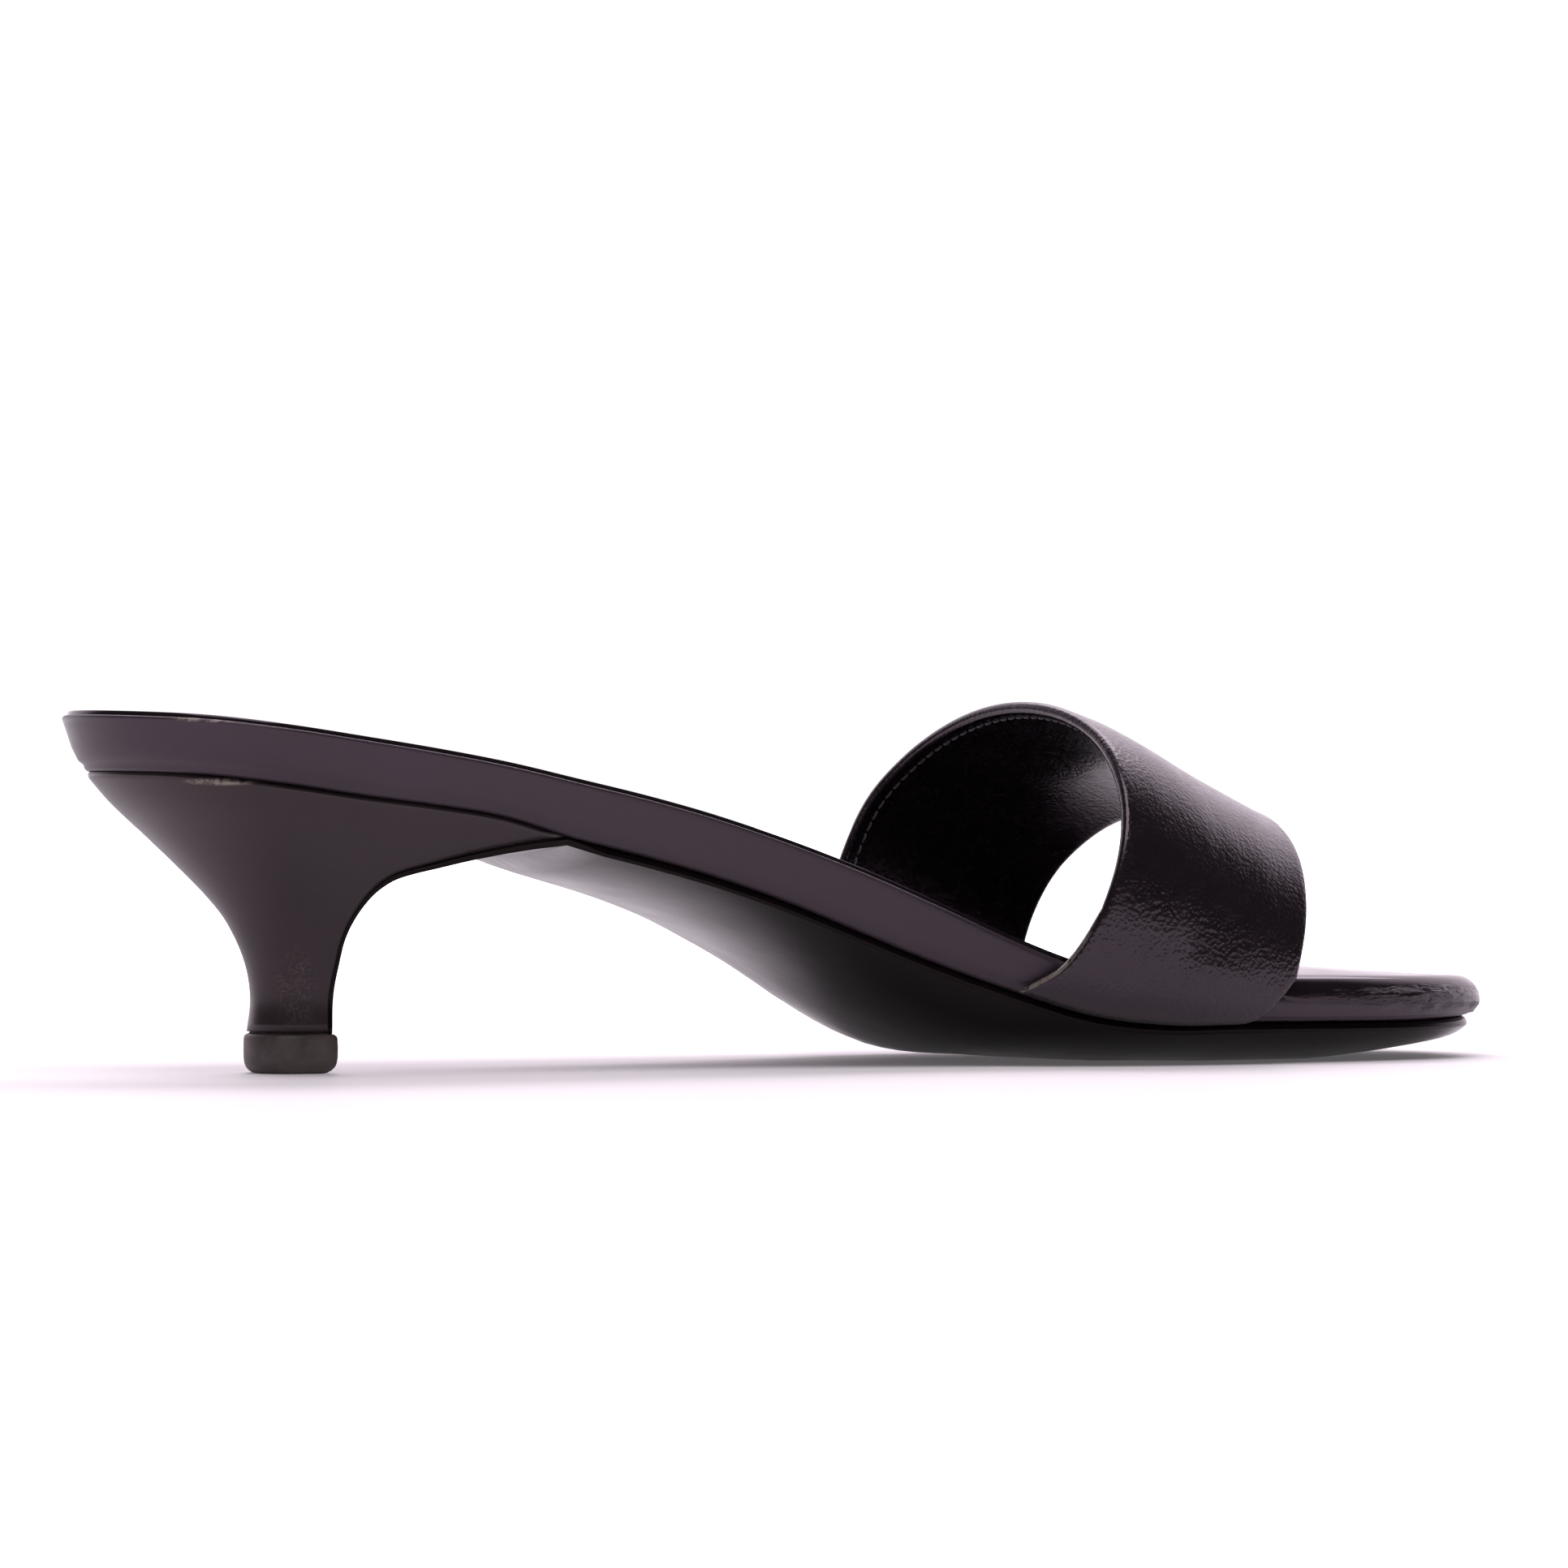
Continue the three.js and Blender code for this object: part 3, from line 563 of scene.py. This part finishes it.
crestAt = curveThrough([(at, band["crestHeight"] - band["wall"] - drop * band["crestDrop"]) for at, drop in [
    (-0.5, -0.25), (0, 0), (0.27, 0.185), (0.6, 0.505), (0.93, 0.8), (1.1, 0.93)]])
widestAt = curveThrough([(at, share * band["crestHeight"]) for at, share in [
    (-0.5, 0.5), (0, 0.38), (0.27, 0.31), (0.6, 0.25), (0.93, 0.22), (1.1, 0.22)]])


# How far the footbed's wall lies in at height z
def wallInset(x, z):
    lean = leanAt(x / last["length"])
    up = (z - underside(x)) / (bedTop(x) - rimAt(x / last["length"]) - underside(x))
    return clamp(leanIn(lean, up), 0, lean)


def bandInside(turn, x):
    side = -1 if turn < 0.5 else 1
    share = min(turn, 1 - turn)
    along = (x - rearAt(0.5)) / (frontAt(0.5) - rearAt(0.5))
    edge = onPrint(x / last["length"], side, 0)[1]
    middle = onPrint(x / last["length"], 0, 0)[1]
    near = last["gap"] * band["clear"]
    foot = underside(x) + last["gap"]
    widest = max(widestAt(along), bedTop(x) + last["gap"])
    bulge = mix(band["medialBulge"] if side < 0 else band["lateralBulge"], 0, clamp(along)) + near
    if share < band["lowShare"]:
        up = share / band["lowShare"]
        z = mix(foot, widest, up)
        outset = near - wallInset(x, z) + (bulge - near) * math.sin(up * math.pi / 2)
        return Vector((x, edge + side * outset, z))
    angle = (share - band["lowShare"]) / (0.5 - band["lowShare"]) * math.pi / 2
    power = 2 / band["squareness"]
    reach = abs(edge - middle) + bulge
    return Vector((x, middle + side * reach * max(0, math.cos(angle)) ** power,
                   mix(widest, crestAt(along), math.sin(angle) ** power)))


def onBand(turn, across):
    return bandInside(turn, mix(rearAt(turn), frontAt(turn), across))


def bandNormal(turn, across):
    small = 0.004
    onwards = onBand(min(1, turn + small), across) - onBand(max(0, turn - small), across)
    ahead = onBand(turn, min(1, across + small)) - onBand(turn, max(0, across - small))
    return ahead.cross(onwards).normalized()


# A point in the band's wall: depth 0 is the lining, 1 the outer face
def inBand(turn, across, depth):
    low = clamp(1 - min(turn, 1 - turn) / band["rollTurn"])
    depth = mix(depth, 0.5, band["rollShare"] * low * low)
    return placed(*(onBand(turn, across) + bandNormal(turn, across) * band["wall"] * depth))


# Creases listed one by one on the outer face: turn, across, their reach in both, and the height in mm
bandFolds = [
    (0.06, 0.22, 0.05, 0.1, -0.22), (0.09, 0.33, 0.04, 0.12, 0.16), (0.13, 0.42, 0.05, 0.08, -0.18),
    (0.11, 0.62, 0.03, 0.16, 0.12), (0.16, 0.55, 0.04, 0.14, -0.14), (0.2, 0.3, 0.05, 0.06, 0.1),
    (0.27, 0.5, 0.09, 0.05, -0.08), (0.24, 0.75, 0.06, 0.07, 0.09), (0.35, 0.6, 0.08, 0.06, -0.06),
    (0.62, 0.5, 0.08, 0.1, 0.12), (0.72, 0.35, 0.07, 0.08, -0.14), (0.82, 0.5, 0.06, 0.12, 0.14),
    (0.9, 0.4, 0.04, 0.1, -0.2),
]


def bandRelief(turn, across, width):
    relief = 0.0
    for foldTurn, foldAcross, turnReach, acrossReach, height in bandFolds:
        away = ((turn - foldTurn) / turnReach) ** 2 + ((across - foldAcross) / acrossReach) ** 2
        relief += height * math.exp(-away)
    behind = (across * width - band["foldAt"]) / band["foldWide"]
    fade = clamp(math.sin(math.pi * turn) * band["foldFade"])
    return relief + band["foldHeight"] * math.exp(-behind ** 2) * fade


# One strip round the band's wall at one turn: lining, rear fold, outer face, front fold
def bandStrip(turn):
    width = frontAt(turn) - rearAt(turn)
    rounded = band["edgeRound"] / width
    acrosses = [mix(rounded, 1 - rounded, i / band["columns"]) for i in range(band["columns"] + 1)]
    inner = [inBand(turn, across, 0) for across in acrosses]
    outer = [inBand(turn, across, 1 + bandRelief(turn, across, width) / band["wall"]) for across in acrosses]
    angles = [math.radians(angle) for angle in band["edgeTurns"]]
    turned = [(math.sin(angle), (1 - math.cos(angle)) / 2) for angle in angles]
    rear = [inBand(turn, rounded * (1 - back), depth) for back, depth in turned]
    front = [inBand(turn, 1 - rounded * (1 - back), 1 - depth) for back, depth in turned]
    return inner[::-1] + rear + outer + front


lows = [band["lowShare"] * i / band["lowRows"] for i in range(band["lowRows"])]
arch = [mix(band["lowShare"], 1 - band["lowShare"], i / band["archRows"]) for i in range(band["archRows"] + 1)]
bandTurns = lows + arch + [1 - turn for turn in lows[::-1]]
facePoints, foldPoints = band["columns"] + 1, len(band["edgeTurns"])
bandMarks = ([faceMarks["lining"]] * facePoints + [faceMarks["fold"]] * foldPoints
             + [faceMarks["outer"]] * (facePoints + foldPoints))
bm = bmesh.new()
skinThrough(bm, [bandStrip(turn) for turn in bandTurns], bandMarks)
finishPiece("bandUpper", bm, bandLeather, ["band"])
print("stage: band")


# The stitch line along the rear edge: short raised stitches that dip into the lining
stitch = {
    "from": 0.16, "to": 0.985, "inFrom": 2.1, "pitch": 2.0, "thread": 0.42, "pointed": 0.55,
    "span": (0.1, 0.9),  # what a stitch takes of its pitch
    "rise": 0.26, "sunk": 0.05, "points": 7, "sides": 6,
    "across": 0.1,  # where the pitch is measured, about under the line
}


def stitchStarts():
    starts, turn = [], stitch["from"]
    while turn < stitch["to"]:
        starts.append(turn)
        here = onBand(turn, stitch["across"])
        step, finest, most = 0.002, 0.0005, 0.1
        while (onBand(min(1, turn + step), stitch["across"]) - here).length < stitch["pitch"] and step < most:
            step += finest
        turn += step
    return starts


def stitchRings(start, end):
    final = stitch["points"] - 1
    places = []
    for i in range(stitch["points"]):
        turn = mix(start, end, mix(*stitch["span"], i / final))
        across = stitch["inFrom"] / (frontAt(turn) - rearAt(turn))
        lift = math.sin(math.pi * i / final) * stitch["rise"] - stitch["sunk"]
        places.append(placed(*(onBand(turn, across) - bandNormal(turn, across) * lift)))
    rings = []
    for i, place in enumerate(places):
        ahead = (places[min(final, i + 1)] - places[max(0, i - 1)]).normalized()
        sideways = ahead.cross(bandNormal(start, stitch["across"])).normalized()
        upwards = sideways.cross(ahead)
        size = stitch["thread"] * mm / 2 * (stitch["pointed"] if i in (0, final) else 1)
        angles = [math.tau * k / stitch["sides"] for k in range(stitch["sides"])]
        rings.append([place + (sideways * math.cos(a) + upwards * math.sin(a)) * size for a in angles])
    return rings


bm = bmesh.new()
starts = stitchStarts()
for start, end in zip(starts, starts[1:]):
    skinThrough(bm, stitchRings(start, end))
finishPiece("bandStitches", bm, thread, merge=0.000001)
print("stage: stitches")


# Heel: a block covered in leather, its breast hidden by the sole's flap
heel = {
    "topPieceHeight": 6.0, "back": 28.4, "breastAt": 38.1, "neckWidth": 13.2, "neckRound": 6.1, "wingTip": 70.5,
    "margin": 0.2, "seamGap": 0.12, "roll": 1.1, "rollDown": 0.03, "rollCurve": 2.4,
    "runOn": 26,  # its skin runs on past the breast before it is trimmed there
    "outline": 34, "levels": 70, "levelCurve": 2.2,  # levels lie closer together at the top
    "samples": 240, "halvings": 26,
}
taperAt = curveThrough([
    (0, 0), (0.03, 0.033), (0.12, 0.158), (0.24, 0.36), (0.36, 0.56), (0.48, 0.748), (0.58, 0.872), (0.73, 0.982),
    (0.87, 1.02), (1, 1)])
# Side view of the breast, from the neck up and forward to the wings' tip
breastShares = [
    (0, 0), (0.012, 0.21), (0.03, 0.352), (0.045, 0.491), (0.083, 0.631), (0.132, 0.732), (0.2, 0.8),
    (0.276, 0.834), (0.401, 0.87), (0.517, 0.904), (0.633, 0.934), (0.749, 0.96), (0.865, 0.982), (1, 1)]
breastLow, breastHigh = heel["topPieceHeight"], underside(heel["wingTip"])
breastPoints = [
    (mix(heel["breastAt"], heel["wingTip"], ahead), mix(breastLow, breastHigh, up)) for ahead, up in breastShares]
breastRun = [0.0]
for (x0, z0), (x1, z1) in zip(breastPoints, breastPoints[1:]):
    breastRun.append(breastRun[-1] + math.hypot(x1 - x0, z1 - z0))
breastAlongX = curveThrough([(run, x) for run, (x, _) in zip(breastRun, breastPoints)])
breastAlongZ = curveThrough([(run, z) for run, (_, z) in zip(breastRun, breastPoints)])
breastRuns = [breastRun[-1] * i / heel["samples"] for i in range(heel["samples"] + 1)]
breastXs = [breastAlongX(run) for run in breastRuns]
breastZs = [breastAlongZ(run) for run in breastRuns]


# Height of the breast above x, between its samples
def breastUp(x):
    i = min(max(bisect_right(breastXs, x), 1), heel["samples"])
    share = clamp((x - breastXs[i - 1]) / max(1e-6, breastXs[i] - breastXs[i - 1]))
    return mix(breastZs[i - 1], breastZs[i], share)


# A D-shaped outline round the neck, round at the back: share is 0 at its front corner and 1 at the back
def neckPoint(share, side, depth, grow):
    ahead = (1 - share) * (depth + 2 * grow)
    rounding = math.sqrt(max(0, 1 - max(0, 1 - ahead / (heel["neckRound"] + grow)) ** 2))
    return heel["back"] - grow + ahead, side * (heel["neckWidth"] / 2 + grow) * rounding


# A point of the heel's skin: share runs from the front corner, 0, to the back, 1
def onHeel(share, side, down):
    along = (1 - share) * (heel["wingTip"] + heel["runOn"]) / last["length"]
    rolled = heel["roll"] * seamRoll(along) * clamp(1 - down / heel["rollDown"]) ** heel["rollCurve"]
    seatX, seatY = onPrint(along, side, leanAt(along) + heel["margin"] + rolled)
    neckX, neckY = neckPoint(share, side, heel["breastAt"] - heel["back"] + heel["runOn"], 0)
    taper = taperAt(down)
    z = mix(underside(seatX) - heel["seamGap"], heel["topPieceHeight"] + last["gap"], down)
    return Vector((mix(seatX, neckX, taper), mix(seatY, neckY, taper), z))


def beforeBreast(place):
    if place.x <= heel["breastAt"]:
        return True
    return place.x < heel["wingTip"] and place.z > breastUp(place.x)


# Where a level of the heel meets the breast
def frontShare(side, down):
    low, high = 0.0, 1.0
    for _ in range(heel["halvings"]):
        middle = (low + high) / 2
        if beforeBreast(onHeel(middle, side, down)):
            high = middle
        else:
            low = middle
    return high


# Shares of half an outline from its front, 0, to its back, 1, closer together at the back
def toBack(count, start=0.0):
    return [mix(start, 1, math.sin(math.pi / 2 * i / count)) for i in range(count + 1)]


heelRims = {-1: [], 1: []}  # where the skin meets the breast, on either side
heelRings = []
for level in range(heel["levels"] + 1):
    down = (level / heel["levels"]) ** heel["levelCurve"]
    halves = {}
    for side in (-1, 1):
        start = frontShare(side, down)
        heelRims[side].append(onHeel(start, side, down))
        halves[side] = [onHeel(share, side, down) for share in toBack(heel["outline"], start)]
    heelRings.append([placed(*place) for place in halves[-1] + halves[1][:-1][::-1]])
bm = bmesh.new()
skinThrough(bm, heelRings)
finishPiece("heelBlock", bm, heelLeather, ["heel"])
print("stage: heel")


# Outsole: convex forepart and thin waist, running on down the breast as a flap
outsole = {
    "rim": 1.3, "margin": 0.7, "edgeRound": 0.8, "fullness": 3.5, "stations": 110,
    "seam": ((1.6, -0.2), (0.9, -0.125), (0.3, 0.3), (0, 1)),  # inwards and down at the top edge, in edge rounds
    "waistFullness": 2.1, "waistBelly": 1.1,  # the waist is rounder across, and this much deeper
    "rounderTo": 0.62, "deeperTo": 0.6, "waistFade": 0.14, "wingFade": 8,
    "flap": 0.6, "flapSteps": 60,
    "flapGap": 0.3,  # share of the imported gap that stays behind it
    "flapEdge": ((0.98, 0), (0.99, 0), (0.998, 0.03), (1, 0.1)),  # share of its half width, and depth
    "rimCurve": 6, "fullCurve": 8,  # how late the flap takes on the sole's rim and depth
    "slopeReach": 0.3, "rimSpacing": 0.4,
    "joinRoom": 3,  # between the flap's last ring and the forepart's first
}
soleHalf = [0.15, 0.32, 0.5, 0.65, 0.76, 0.84, 0.89, 0.93, 0.96, 0.985, 1]
soleAcross = [-side for side in soleHalf[::-1]] + [0] + soleHalf


# Share of the sole's depth at a side of it, rounder across at the waist than at the forepart
def belly(side, at):
    waist = clamp((outsole["rounderTo"] - at) / outsole["waistFade"])
    return 1 - abs(side) ** mix(outsole["fullness"], outsole["waistFullness"], waist)


def soleRing(along):
    inset = leanAt(along) + outsole["margin"]
    x = onPrint(along, 0, inset)[0]
    at = x / last["length"]
    top = underside(x) - last["gap"]
    rim = top - outsole["rim"]
    waist = clamp((outsole["deeperTo"] - at) / outsole["waistFade"])
    waist *= clamp((x - heel["wingTip"]) / outsole["wingFade"])
    low = min(rim, underside(x) - deepAt(at)) - outsole["waistBelly"] * waist
    body = []
    for side in soleAcross:
        z = mix(rim, low, belly(side, at))
        body.append(placed(*onPrint(along, side, inset), max(0, z)))
    rounded = outsole["edgeRound"]
    rolls = [(inwards * rounded, fall * rounded) for inwards, fall in outsole["seam"]]
    left = [placed(*onPrint(along, -1, inset + inwards), top - fall) for inwards, fall in rolls]
    right = [placed(*onPrint(along, 1, inset + inwards), top - fall) for inwards, fall in rolls[::-1]]
    return left + body + right


# Width of the heel's skin along its breast, by x + z of the place
def rimCurve(side):
    rows = sorted((place.x + place.z, place.y) for place in heelRims[side])
    kept = [rows[0]]
    for row in rows[1:]:
        if row[0] - kept[-1][0] > outsole["rimSpacing"]:
            kept.append(row)
    return curveThrough(kept)


rimY = {side: rimCurve(side) for side in (-1, 1)}


def flapRing(step):
    run = breastRun[-1] * step / outsole["flapSteps"]
    x, z = breastAlongX(run), breastAlongZ(run)
    up = (z - breastLow) / (breastHigh - breastLow)
    reach = outsole["slopeReach"]
    ahead = Vector((breastAlongX(run + reach) - breastAlongX(run - reach), 0,
                    breastAlongZ(run + reach) - breastAlongZ(run - reach))).normalized()
    out = Vector((ahead.z, 0, -ahead.x))
    tip = heel["wingTip"] / last["length"]
    rim = mix(outsole["flap"], outsole["rim"], up ** outsole["rimCurve"])
    fuller = (deepAt(tip) - last["gap"] - outsole["rim"]) * up ** outsole["fullCurve"]
    outer, inner = rimY[1](x + z), rimY[-1](x + z)

    def onFlap(side, depth):
        place = Vector((x, (outer + inner) / 2 + side * (outer - inner) / 2, z))
        return placed(*(place + out * (last["gap"] * outsole["flapGap"] + depth)))

    left = [onFlap(-side, depth) for side, depth in outsole["flapEdge"]]
    body = [onFlap(side, rim + fuller * belly(side, tip)) for side in soleAcross]
    right = [onFlap(side, depth) for side, depth in outsole["flapEdge"][::-1]]
    return left + body + right


bm = bmesh.new()
flaps = [flapRing(step) for step in range(outsole["flapSteps"] + 1)]
foreparts = [soleRing(along) for along in shares(outsole["stations"])
             if along * last["length"] > heel["wingTip"] + outsole["joinRoom"]]
skinThrough(bm, flaps + foreparts)
finishPiece("outsoleSkin", bm, soleLeather, ["outsole"])
print("stage: outsole")


# Top piece: moulded rubber, rounded below, its sides a little proud of the neck
topPiece = {
    "flap": 0.9, "outline": 30,
    "profile": [(0, -1.25), (0.12, -0.75), (0.45, -0.25), (0.9, 0.12), (1.5, 0.36), (2.4, 0.48), (4.0, 0.5),
                (5.2, 0.46), (5.6, 0.36), (5.85, 0.1), (5.98, -0.3), (6.4, -0.6)],  # height, and how far proud
}


def topPieceRing(z, grow):
    depth = heel["breastAt"] + topPiece["flap"] - heel["back"]
    halves = {side: [neckPoint(share, side, depth, grow) for share in toBack(topPiece["outline"])]
              for side in (-1, 1)}
    return [placed(x, y, z) for x, y in halves[-1] + halves[1][:-1][::-1]]


bm = bmesh.new()
skinThrough(bm, [topPieceRing(z, grow) for z, grow in topPiece["profile"]])
finishPiece("topPieceRubber", bm, topPieceRubber, ["top_piece"])
print("stage: top piece")


# Floor, lights, sky and camera, as in a photographer's white studio
studio = {
    "floorSize": 6, "floorTone": "#f6f4f6", "floorGlowTint": (1, 0.95, 0.99, 1),
    "floorGlow": (0.09, 1.6), "floorGlowReach": (0.22, 1.0),
    "lampTint": (1, 0.93, 0.99),
    "lamps": [("topBack", (0.55, 1.15, 1.6), (1.8, 1.0), 16), ("top", (-0.4, -0.75, 2.3), (1.8, 1.8), 36)],
    "skyTint": (1, 0.88, 0.985, 1), "skyFront": 0.076, "skyBack": 1.35,
    "skyBehind": (0.47, 0.88, 0.05), "skyFade": (0.26, 0.72),  # the sky brightens towards what lies behind the shoe
    "paper": 1.05,  # what the camera sees of it
    "cameraPlace": (-0.58729, -1.10336, 0.04345), "cameraTurn": -28.0, "lens": 184.8, "sensor": 36,
}


# A board that glows as painted light: faintly near the shoe and brighter away from it, where the lamps don't reach
def addFloor():
    board = bmesh.new()
    bmesh.ops.create_grid(board, x_segments=1, y_segments=1, size=studio["floorSize"])
    mesh = bpy.data.meshes.new("floor")
    board.to_mesh(mesh)
    board.free()
    material, tree, shader, coords = newMaterial("painted board", {
        "Base Color": srgb(studio["floorTone"]), "Roughness": 0.6, "Emission Color": studio["floorGlowTint"]})
    glow = mapped(tree, distanceFrom(tree, coords), studio["floorGlowReach"], studio["floorGlow"])
    tree.links.new(glow, shader.inputs["Emission Strength"])
    mesh.materials.append(material)
    piece = bpy.data.objects.new("floor", mesh)
    bpy.context.scene.collection.objects.link(piece)


# A rectangular lamp that points at the shoe
def addLamp(name, place, size, power):
    data = bpy.data.lights.new(name, "AREA")
    data.shape = "RECTANGLE"
    data.size, data.size_y = size
    data.energy = power
    data.color = studio["lampTint"]
    lamp = bpy.data.objects.new(name, data)
    lamp.location = place
    lamp.rotation_euler = (-Vector(place)).to_track_quat("-Z", "Y").to_euler()
    bpy.context.scene.collection.objects.link(lamp)


def addSky():
    world = bpy.data.worlds.new("studio")
    bpy.context.scene.world = world
    world.use_nodes = True
    tree = world.node_tree
    tree.nodes.clear()
    place = addNode(tree, "ShaderNodeTexCoord")
    behind = addNode(tree, "ShaderNodeVectorMath", {
        "operation": "DOT_PRODUCT", 0: place.outputs["Generated"], 1: studio["skyBehind"]})
    light = mapped(tree, behind.outputs["Value"], studio["skyFade"], (studio["skyFront"], studio["skyBack"]),
                   "SMOOTHSTEP")
    sky = addNode(tree, "ShaderNodeBackground", {"Color": studio["skyTint"], "Strength": light})
    paper = addNode(tree, "ShaderNodeBackground", {"Color": (1, 1, 1, 1), "Strength": studio["paper"]})
    seen = addNode(tree, "ShaderNodeMixShader", {
        0: addNode(tree, "ShaderNodeLightPath").outputs["Is Camera Ray"], 1: sky.outputs[0], 2: paper.outputs[0]})
    addNode(tree, "ShaderNodeOutputWorld", {"Surface": seen.outputs[0]})


addFloor()
for lampName, lampPlace, lampSize, lampPower in studio["lamps"]:
    addLamp(lampName, lampPlace, lampSize, lampPower)
addSky()
cameraData = bpy.data.cameras.new("photoCamera")
cameraData.lens = studio["lens"]
cameraData.sensor_width = studio["sensor"]
camera = bpy.data.objects.new("photoCamera", cameraData)
camera.location = studio["cameraPlace"]
camera.rotation_euler = (math.radians(90), 0, math.radians(studio["cameraTurn"]))
bpy.context.scene.collection.objects.link(camera)
bpy.context.scene.camera = camera
bpy.context.scene.view_settings.view_transform = "Standard"
print("stage: studio")
